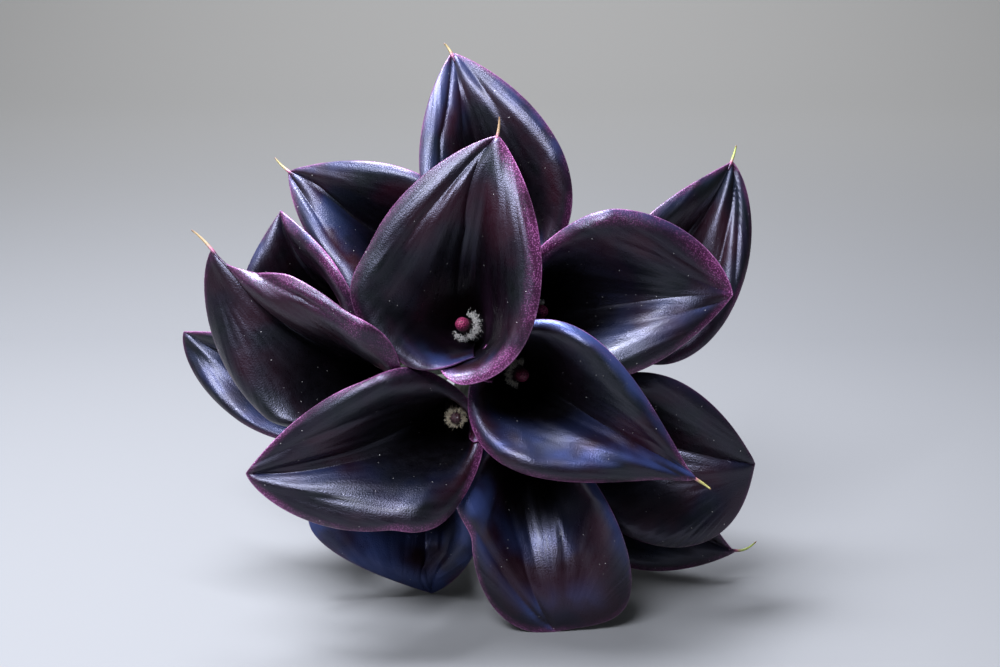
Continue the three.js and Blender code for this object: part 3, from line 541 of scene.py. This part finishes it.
# overlap, outside: how far one margin laps over the other, and how far off it. dive, seam: how deep the
# margins run down into the roll, and from where. soft, roll: how the bowl rounds over to its rim, and how
# steeply there and at the tip. bend_from, dip_from, heel_to, drawn_from: where along the blade each begins
# or ends. hold: the stretch of the foot that narrows on to the stem. rounded: the soft edge of the margin.
# cols: the points round the roll. veins_over: how wide a blade the veins are spread over.
SPATHE = dict(thickness=0.9, overlap=0.12, outside=1.9, dive=0.45, seam=0.93, soft=0.46, roll=34,
              roll_tip=12, bend_from=0.4, dip_from=0.25, heel_to=0.35, drawn_from=0.6, hold=0.10,
              rounded=0.7, above_floor=0.02, cols=221, veins_over=70)
TAIL = dict(root=0.95, straight=0.45, radius=0.9, tip_radius=0.3, steps=24, sides=12)
LEAF_COLOURS = dict(
    green_black=(0.0017, 0.0030, 0.0021), violet_black=(0.0028, 0.0014, 0.0032),
    # the blue on the next line is a painted reflection of the sky, on the sides that face up
    maroon=(0.0070, 0.0016, 0.0030), vein=(0.0070, 0.0050, 0.0075), sky_sheen=(0.031, 0.048, 0.145),
    # the flush and lip colours here are the margin's own magenta, made brighter as painted light through the
    # thin margin and a painted highlight on its edge
    warm=(0.0130, 0.0016, 0.0040), throat=(0.0005, 0.0003, 0.0004), flush_and_glow=(0.07, 0.011, 0.048),
    flush_and_glow_cell=(0.46, 0.14, 0.37), lip=(0.34, 0.09, 0.27), lip_highlight_cell=(0.80, 0.48, 0.75),
    foot=(0.012, 0.017, 0.006), golden_thread=(0.38, 0.23, 0.14), green_thread=(0.30, 0.36, 0.07),
    thread_root=(0.34, 0.09, 0.17), thread_end=(0.16, 0.08, 0.04), dust=(0.62, 0.60, 0.58))
# the flush along the left and the right margin, the margin's own magenta made brighter by painted light
# shining through the thin margin: how wide it is and how vivid. Then how green the thread is.
FLUSH_AND_GLOW = {
    "A": (3, 5.5, 0.3, 1, 0.1), "B": (2, 2.5, 0.5, 0.7, 0.3), "C": (2.5, 2, 0.6, 0.5, 0.4),
    "D": (2, 4.5, 0.2, 0.8, 0.0), "E": (2, 8, 0.35, 0.6, 0.2), "F": (2, 2, 0.5, 0.5, 0.0),
    "G": (3, 2.5, 0.9, 0.6, 0.0), "H": (3, 2.5, 0.8, 0.8, 0.6), "I": (6, 2.5, 0.9, 0.6, 0.0),
    "J": (2.5, 2.5, 0.45, 0.5, 0.9), "K": (2, 2.5, 0.5, 0.6, 0.0), "L": (3, 3, 0.4, 0.4, 0.0),
    "M": (1.5, 1.5, 0.15, 0.15, 0.0), "N": (3, 3, 0.8, 0.8, 1.0)}
# a painted reflection of the blue sky on the sides turned to it, put into their colour: how deep it is, and
# how far up they have to look for it
SKY_SHEEN = {
    "A": (0.8, 0.5), "B": (0.4, 0.1), "C": (0.35, 0.1), "D": (0.5, 0.1), "E": (0.0, 0.1), "F": (0.45, 0.1),
    "G": (0.6, 0.5), "H": (1.0, 0.1), "I": (0.45, 0.25), "J": (0.15, 0.1), "K": (0.9, -0.15),
    "L": (1.0, -0.9), "M": (0.1, 0.0), "N": (0.1, 0.0)}


def bezier(p0, p1, p2, p3, t):
    s = 1 - t
    return p0 * s ** 3 + p1 * 3 * s * s * t + p2 * 3 * s * t * t + p3 * t ** 3


def ring_points(centre, axis, to_tip, radius, angle):
    """Points round an axis, with angle 0 on the side of the tip."""
    front = unit(to_tip - axis * np.dot(to_tip, axis))
    right = np.cross(front, axis)
    return centre + radius * (front * np.cos(angle)[:, None] + right * np.sin(angle)[:, None])


def spathe_grid(f, fr, side, height):
    """Points of the leaf's middle surface: side from -1 to 1 round the roll, height from foot to rim."""
    # the outline of the opening, seen from the front: how far along to the tip and how far across
    angle = np.pi * (1 + SPATHE["overlap"]) * side
    a = np.abs(angle)
    sharp, heel, drawn = (np.where(side < 0, *f.get(k, (0, 0))) for k in ("sharp", "heel", "drawn"))
    width = np.where(side < 0, f["left"], f["right"])
    peak = 2 * ((sharp + 1) / (sharp + 2)) ** ((sharp + 1) / 2) * (sharp + 2) ** -0.5
    along = (f["back"] - f["lip"]) / 2 + (f["back"] + f["lip"]) / 2 * np.cos(a)
    narrow = np.maximum(np.sin(a / 2), 1e-6) ** sharp
    sway = f["sway"] * (np.maximum(along, 0) / f["back"]) ** 2
    dip_from = SPATHE["dip_from"] * f["back"]
    sunk = np.maximum((dip_from - along) / (dip_from + f["lip"]), 0) ** 1.5
    pinched = 1 - f.get("pinch", 0) * sunk
    fuller = 1 + heel * (1 - smooth(0, SPATHE["heel_to"], along / f["back"]))
    slimmer = 1 - drawn * smooth(SPATHE["drawn_from"], 1, along / f["back"])
    across = np.sign(angle) * width * np.sin(a) * narrow / peak * pinched * fuller * slimmer + sway

    # the rim is that outline, bent back at the tip and sunk at the front lip
    bend_from = SPATHE["bend_from"] * f["back"]
    bend = np.maximum((along - bend_from) / (f["back"] - bend_from), 0) ** 2
    flat = fr["throat"] + along[:, None] * fr["to_tip"] + across[:, None] * fr["to_right"]
    rim = flat - (f["curl"] * bend + f["dip"] * sunk)[:, None] * fr["out"]

    # the bowl rounds over to the rim, least at the tip, and the margins dive down into the roll
    rolled = mix(SPATHE["roll_tip"], f.get("roll", SPATHE["roll"]), smooth(0.15, 1.3, a))
    roll = np.radians(rolled * (1 - 0.6 * smooth(2.4, 3.1, a)))
    soft = SPATHE["soft"] * np.hypot(along, across)
    shoulder = rim + unit(fr["throat"] - flat) * (soft * np.cos(roll))[:, None] \
        + fr["out"] * (soft * np.sin(roll))[:, None]
    dive = SPATHE["dive"] * smooth(f.get("seam", SPATHE["seam"]), 1, np.abs(side))
    t = height[None, :, None] * (1 - dive)[:, None, None]
    foot = ring_points(fr["foot"], fr["lower"], fr["to_tip"], TUBE["foot"], angle)
    neck = ring_points(fr["neck"], fr["upper"], fr["to_tip"], TUBE["neck"], angle)
    p = bezier(foot[:, None], neck[:, None], shoulder[:, None], rim[:, None], t)

    # one margin is lifted, so that it laps over the other
    lift = SPATHE["outside"] * smooth(0.45, 0.78, side * f.get("wrap", 1))
    centre = bezier(fr["foot"], fr["neck"], fr["throat"], fr["throat"], t)
    p = p + unit(p - centre) * lift[:, None, None]

    # at its foot the roll narrows to hold the stem all round
    on_axis = fr["foot"] + ((p - fr["foot"]) @ fr["lower"])[..., None] * fr["lower"]
    off_axis = p - on_axis
    reach = np.linalg.norm(off_axis, axis=-1)
    tight = STEM["top_radius"] + 0.4 + 0.15 * lift[:, None]
    hold = 1 - smooth(0, SPATHE["hold"], height)[None, :]
    return on_axis + off_axis * (mix(reach, tight, hold) / reach)[..., None]


def facing(grid):
    """The way each point of a grid faces, which is into the bowl."""
    return unit(np.cross(np.gradient(grid, axis=0), np.gradient(grid, axis=1)) + 1e-12)


def fold(f, fr, grid):
    """Folds that fan out from the tip, as heights over the leaf's smooth surface, in millimetres."""
    from_throat = grid - fr["throat"]
    along, across = from_throat @ fr["to_tip"], from_throat @ fr["to_right"]
    run = np.clip(1 - along / f["back"], 0, 1)
    middle = f["sway"] * (np.maximum(along, 0) / f["back"]) ** 2
    total = np.zeros(along.shape)
    for near_tip, mid_blade, height, width in f["folds"]:
        line = middle + mix(near_tip, mid_blade, np.minimum(2 * run, 1)) * (2 * run) ** 0.75
        off = np.abs(across - line) / (width * (0.45 + 1.1 * run))
        total += height * (np.exp(-off ** 2) if height > 0 else np.exp(0.3 - np.sqrt(off ** 2 + 0.09)))
    return total * smooth(0.05, 0.5, along / f["back"]) * smooth(0.0, 0.06, run)


def leaf_piece(name, f, fr):
    """One spathe: its two faces and the soft margin between them, its thread, and what its skin reads."""
    # the points stand closer together at the tip and at the rim
    side = np.linspace(-1, 1, SPATHE["cols"])
    side = np.sign(side) * np.abs(side) ** 1.35
    height = np.concatenate([np.linspace(0, 0.955, 64), [0.968, 0.978, 0.986, 0.992, 0.996, 0.9985, 1]])
    grid = spathe_grid(f, fr, side, height)
    grid = grid + facing(grid) * fold(f, fr, grid)[..., None]
    normal = facing(grid)
    rows, cols = grid.shape[:2]

    # how far each point is from each edge, in millimetres
    step = np.linalg.norm(np.diff(grid, axis=1), axis=2)
    to_rim = np.concatenate([np.cumsum(step[:, ::-1], axis=1)[:, ::-1], np.zeros((rows, 1))], axis=1)
    to_foot = np.concatenate([np.zeros((rows, 1)), np.cumsum(step, axis=1)], axis=1)
    step = np.linalg.norm(np.diff(grid, axis=0), axis=2)
    to_left = np.concatenate([np.zeros((1, cols)), np.cumsum(step, axis=0)], axis=0)
    to_right = to_left[-1:] - to_left
    edge = np.minimum(np.minimum(to_rim, to_foot), np.minimum(to_left, to_right))

    # two faces that meet all round in a soft edge, so that the leaf is one closed shell
    half = SPATHE["thickness"] / 2
    round_over = np.sqrt(np.clip(1 - (1 - np.clip(edge / SPATHE["rounded"], 0, 1)) ** 2, 0, 1))
    inner = grid + normal * (half * round_over)[..., None]
    outer = grid - normal * (half * round_over)[..., None]
    border = np.zeros((rows, cols), bool)
    border[[0, -1], :] = True
    border[:, [0, -1]] = True
    inner_at = np.arange(rows * cols).reshape(rows, cols)
    outer_at = inner_at.copy()
    outer_at[~border] = rows * cols + np.arange((~border).sum())
    faces = []
    for at, order in ((inner_at, (0, 1, 2, 3)), (outer_at, (3, 2, 1, 0))):
        corners = [at[:-1, :-1].ravel(), at[1:, :-1].ravel(), at[1:, 1:].ravel(), at[:-1, 1:].ravel()]
        faces += np.stack([corners[k] for k in order], 1).tolist()
    points = np.concatenate([inner.reshape(-1, 3), outer[~border]])

    # a tip that touches the ground lies flat on it
    upwards = np.array([0, math.sin(math.radians(LAY_DOWN)), math.cos(math.radians(LAY_DOWN))])
    sunk = np.maximum(SPATHE["above_floor"] - LAID_AT[2] - points @ upwards, 0)
    points = points + sunk[:, None] * upwards

    def both(values):
        """The same values for the inner and the outer face."""
        return np.concatenate([values.ravel(), values[~border]])

    # what its skin reads. rise: up from the foot. run: down from the tip. fan: across the fan of the veins.
    left_flush, right_flush, left_vivid, right_vivid, green = FLUSH_AND_GLOW[name]
    deep, reach = SKY_SHEEN[name]
    to_the_right = smooth(-0.12, 0.12, side)
    from_throat = grid - fr["throat"]
    run = np.clip(1 - (from_throat @ fr["to_tip"]) / f["back"], 0, 2)
    up = normal @ upwards
    told = dict(
        rim=both(to_rim), rise=both(np.repeat(height[None], rows, 0)), run=both(run),
        fan=both((from_throat @ fr["to_right"]) / (SPATHE["veins_over"] * (run + 0.12))),
        flush_and_glow=both(to_rim / mix(left_flush, right_flush, to_the_right)[:, None]),
        vivid=both(np.repeat(mix(left_vivid, right_vivid, to_the_right)[:, None], cols, 1)),
        # the painted reflection of the blue sky: strongest where the leaf faces up
        sky_sheen=deep * smooth(reach, reach + 0.7, np.concatenate([up.ravel(), -up[~border]])),
        inside=np.concatenate([np.ones(rows * cols), np.zeros((~border).sum())]))

    # the thread that the tip is drawn out to, where the flower still has it
    thread = np.zeros(len(points))
    if "tail" in f:
        root, tip = spathe_grid(f, fr, np.zeros(1), np.array([TAIL["root"], 1.0]))[0]
        end = tip + fr["to_tip"] * f["tail"][0] + fr["to_right"] * f["tail"][1] + fr["out"] * f["tail"][2]
        bend = tip + unit(tip - root) * TAIL["straight"] * np.linalg.norm(end - tip)
        t = np.linspace(0, 1, TAIL["steps"])[:, None]
        path = root * (1 - t) ** 2 + bend * 2 * t * (1 - t) + end * t ** 2
        radii = mix(TAIL["radius"], TAIL["tip_radius"], t[:, 0] ** 0.7) * smooth(-0.25, 0.3, t[:, 0])
        radii[-1] *= 0.4
        tail_points, tail_faces = tube_mesh(path, radii, TAIL["sides"])
        faces += [tuple(i + len(points) for i in q) for q in tail_faces]
        points = np.concatenate([points, tail_points])
        on_thread = dict(rim=2.0, rise=1.0, run=0.0, fan=0.0, flush_and_glow=0.5, vivid=0.6, sky_sheen=0.0, inside=1.0)
        told = {k: np.concatenate([v, np.full(len(tail_points), on_thread[k])]) for k, v in told.items()}
        thread = np.concatenate([thread, np.repeat(t[:, 0], TAIL["sides"])])
    piece = make_piece(f"spathe_leaf_{name}", points, faces, leaf_skin, f"spathe_{name}")
    for key, values in dict(told, thread=thread, green=np.full(len(points), green)).items():
        paint(piece, key, values)


def opposite(tree, mask):
    return calculate(tree, "SUBTRACT", 1.0, mask)


leaf_skin, tree, shader = new_material(
    "leaf_skin", IOR=1.5, Specular_IOR_Level=0.5, Specular_Tint=(0.74, 0.74, 1.0, 1), Sheen_Weight=0.015,
    Sheen_Roughness=0.35, Sheen_Tint=(0.75, 0.22, 0.62, 1), Coat_Roughness=0.25, Coat_IOR=1.5)
where = place_in_mm(tree)
grain = grown(tree, 1.1)
rise, run, fan, inside, thread, vivid, sky_sheen = (
    reading(tree, n) for n in ("rise", "run", "fan", "inside", "thread", "vivid", "sky_sheen"))

# veins and soft swells that fan out from the tip, and fade where they crowd together there
fanned = add(tree, "ShaderNodeCombineXYZ", X=product(tree, fan, 9.0), Y=run).outputs[0]
off_tip = ramp(tree, run, 0.06, 0.55)
veins = calculate(tree, "SUBTRACT", noise(tree, fanned, 4.0, 4.0, Roughness=0.6), 0.5)
veins = calculate(tree, "ADD", 0.5, product(tree, veins, off_tip))
swell = product(tree, noise(tree, fanned, 0.8, 1.0), off_tip)
speck = ramp(tree, grain["Cells"], 0.08, 0.5, 1.0, 0.0)

# nearly black: green-black in the middle of the blades, maroon and violet elsewhere, and a painted
# reflection of the blue sky on the sides that face up
hue = noise(tree, where, 0.04, 2.0)
violet = ramp(tree, hue, 0.35, 0.5)
body = blend_colour(tree, violet, LEAF_COLOURS["green_black"], LEAF_COLOURS["violet_black"])
body = blend_colour(tree, ramp(tree, hue, 0.52, 0.66), body, LEAF_COLOURS["maroon"])
body = blend_colour(tree, ramp(tree, veins, 0.5, 0.75, 0.0, 0.5), body, LEAF_COLOURS["vein"])
sky_sheen = product(tree, sky_sheen, ramp(tree, noise(tree, where, 0.055, 2.0), 0.36, 0.56, 0.25, 1.0))
body = blend_colour(tree, sky_sheen, body, LEAF_COLOURS["sky_sheen"])

# a warmer zone part of the way down the bowl, then deep in the throat the leaf's own near-black darkened
# further as painted shade
warm = product(tree, ramp(tree, rise, 0.5, 0.68), ramp(tree, rise, 0.74, 0.93, 1.0, 0.0),
               ramp(tree, hue, 0.42, 0.6))
body = blend_colour(tree, warm, body, LEAF_COLOURS["warm"])
throat_shade = product(tree, ramp(tree, rise, 0.42, 0.84, 1.0, 0.0), inside)
body = blend_colour(tree, throat_shade, body, LEAF_COLOURS["throat"])

# the flush along the margin, wide and dim behind a thin vivid lip, both in uneven stretches of pale cells;
# the margin's own magenta, brightened as painted light through the thin margin and as a painted highlight on
# the edge
uneven = noise(tree, where, 0.07, 3.0)
flush_and_glow = product(tree, ramp(tree, reading(tree, "flush_and_glow"), 0.0, 1.7, 1.0, 0.0), vivid,
                ramp(tree, uneven, 0.32, 0.64, 0.15, 1.0), opposite(tree, sky_sheen))
cells = blend_colour(tree, speck, LEAF_COLOURS["flush_and_glow"], LEAF_COLOURS["flush_and_glow_cell"])
body = blend_colour(tree, flush_and_glow, body, cells)
# the lip: a painted highlight along the rounded edge, over the margin's own magenta
lip = product(tree, ramp(tree, reading(tree, "rim"), 0.1, 1.0, 1.0, 0.0), vivid,
              ramp(tree, uneven, 0.38, 0.62, 0.3, 1.0))
cells = blend_colour(tree, speck, LEAF_COLOURS["lip"], LEAF_COLOURS["lip_highlight_cell"])
body = blend_colour(tree, lip, body, cells)

# green towards the foot on the outside, green or golden on the thread, and pale dust over all of it
outside_foot = product(tree, ramp(tree, rise, 0.02, 0.2, 1.0, 0.0), opposite(tree, inside))
body = blend_colour(tree, outside_foot, body, LEAF_COLOURS["foot"])
green = reading(tree, "green")
tail = blend_colour(tree, green, LEAF_COLOURS["golden_thread"], LEAF_COLOURS["green_thread"])
tail = blend_colour(tree, ramp(tree, thread, 0.2, 0.5), LEAF_COLOURS["thread_root"], tail)
tail = blend_colour(tree, ramp(tree, thread, 0.85, 1.0), tail, LEAF_COLOURS["thread_end"])
body = blend_colour(tree, ramp(tree, thread, 0.12, 0.3), body, tail)
body = blend_colour(tree, product(tree, grain["Dust"], 0.85), body, LEAF_COLOURS["dust"])

# satin: the cells and the fine veins break up the shine, and where the blue sky is painted in, the leaf is
# also partly metallic, for a pearly gleam
pearly = product(tree, product(tree, sky_sheen, 0.45), product(tree, opposite(tree, flush_and_glow), opposite(tree, lip)))
rough = calculate(tree, "ADD", ramp(tree, grain["Mottle"], 0.3, 0.7, 0.22, 0.29),
                  ramp(tree, grain["Cells"], 0.1, 0.5, 0.0, 0.10))
rough = calculate(tree, "ADD", rough, ramp(tree, veins, 0.35, 0.65, 0.0, 0.06))
skin = relief(tree, grain["Cells"], 0.7, 0.00009)
skin = relief(tree, veins, 0.5, 0.0002, Normal=skin)
skin = relief(tree, swell, 0.6, 0.0034, Normal=skin)
feed(shader, Base_Color=body, Metallic=pearly, Roughness=rough, Normal=skin,
     Coat_Weight=ramp(tree, veins, 0.4, 0.6, 0.0, 0.2))

for name, f in FLOWERS.items():
    leaf_piece(name, f, flower_frame(f))

# ---- Floor, light and the photograph's view ----------------------------------------------------------
# The bouquet lies on a plain pale sweep of paper that curves up behind it. Soft boxes over it and before it
# give its sheen, a third one fills its left side, and the fourth lights the backdrop. All in metres.

PAPER = dict(behind=3.0, before=15.0, aside=15.0, height=3.2, radius=1.6, steps=24)
PAPER_GREY = (0.15, 0.15, 0.148, 1)


def sweep(behind, before, aside, height, radius, steps):
    """A wide floor that curves up into a backdrop behind the part."""
    profile = [(-before, 0.0), (behind - radius, 0.0)]
    profile += [(behind - radius + radius * math.sin(t), radius * (1 - math.cos(t)))
                for t in np.linspace(0, math.pi / 2, steps)[1:]]
    profile.append((behind, height))
    points = [(x, y, z) for y, z in profile for x in (-aside, aside)]
    return points, [(2 * i, 2 * i + 1, 2 * i + 3, 2 * i + 2) for i in range(len(profile) - 1)]


floor_mesh = bpy.data.meshes.new("floor")
floor_points, floor_faces = sweep(**PAPER)
floor_mesh.from_pydata(floor_points, [], floor_faces)
floor_mesh.polygons.foreach_set("use_smooth", np.ones(len(floor_mesh.polygons), bool))
floor = bpy.data.objects.new("floor", floor_mesh)
bpy.context.scene.collection.objects.link(floor)
floor_mesh.materials.append(new_material("pale_floor", Roughness=0.8, Base_Color=PAPER_GREY)[0])

world = bpy.data.worlds.new("studio")
bpy.context.scene.world = world
world.use_nodes = True
sky = world.node_tree.nodes["Background"]
sky.inputs["Color"].default_value = (0.80, 0.87, 1.0, 1)
sky.inputs["Strength"].default_value = 0.10


def soft_box(name, at, size, power, colour, toward=(0, -0.09, 0.11)):
    """A soft box of this width and height and this power in watts, which looks at the flowers' heads."""
    lamp = bpy.data.lights.new(name, "AREA")
    lamp.shape = "RECTANGLE"
    lamp.size, lamp.size_y = size
    lamp.energy = power
    lamp.color = colour
    box = bpy.data.objects.new(name, lamp)
    bpy.context.scene.collection.objects.link(box)
    box.location = at
    aim = unit(np.array(toward) - np.array(at))
    box.rotation_euler = (math.acos(-aim[2]), 0, math.atan2(-aim[0], aim[1]))


soft_box("overhead", (-0.25, 0.05, 1.05), (0.5, 0.35), 43, (0.84, 0.88, 1.0))
soft_box("front_top", (-0.30, -0.80, 0.92), (0.5, 0.3), 24, (0.84, 0.88, 1.0))
soft_box("left_side", (-1.1, -0.2, 0.75), (0.5, 0.8), 3, (0.86, 0.91, 1.0))
soft_box("backdrop_wash", (0.0, 1.0, 1.6), (1.6, 0.6), 95, (1.0, 1.0, 1.0), (0, 3.0, 0.7))

# the camera looks down the axis of the bouquet. at: a point of the plan, in millimetres. focal: its focal
# length over the width of its picture.
VIEW = dict(at=(9.2, 6.1, 740), focal=1.570, sensor=36)
camera_data = bpy.data.cameras.new("photo_view")
camera_data.sensor_width = VIEW["sensor"]
camera_data.lens = VIEW["sensor"] * VIEW["focal"]
camera_data.clip_start = 0.01
camera = bpy.data.objects.new("photo_view", camera_data)
bpy.context.scene.collection.objects.link(camera)
camera.location = laid_down(VIEW["at"])
camera.rotation_euler = (math.radians(LAY_DOWN), 0, 0)
bpy.context.scene.camera = camera
bpy.context.scene.view_settings.view_transform = "Standard"
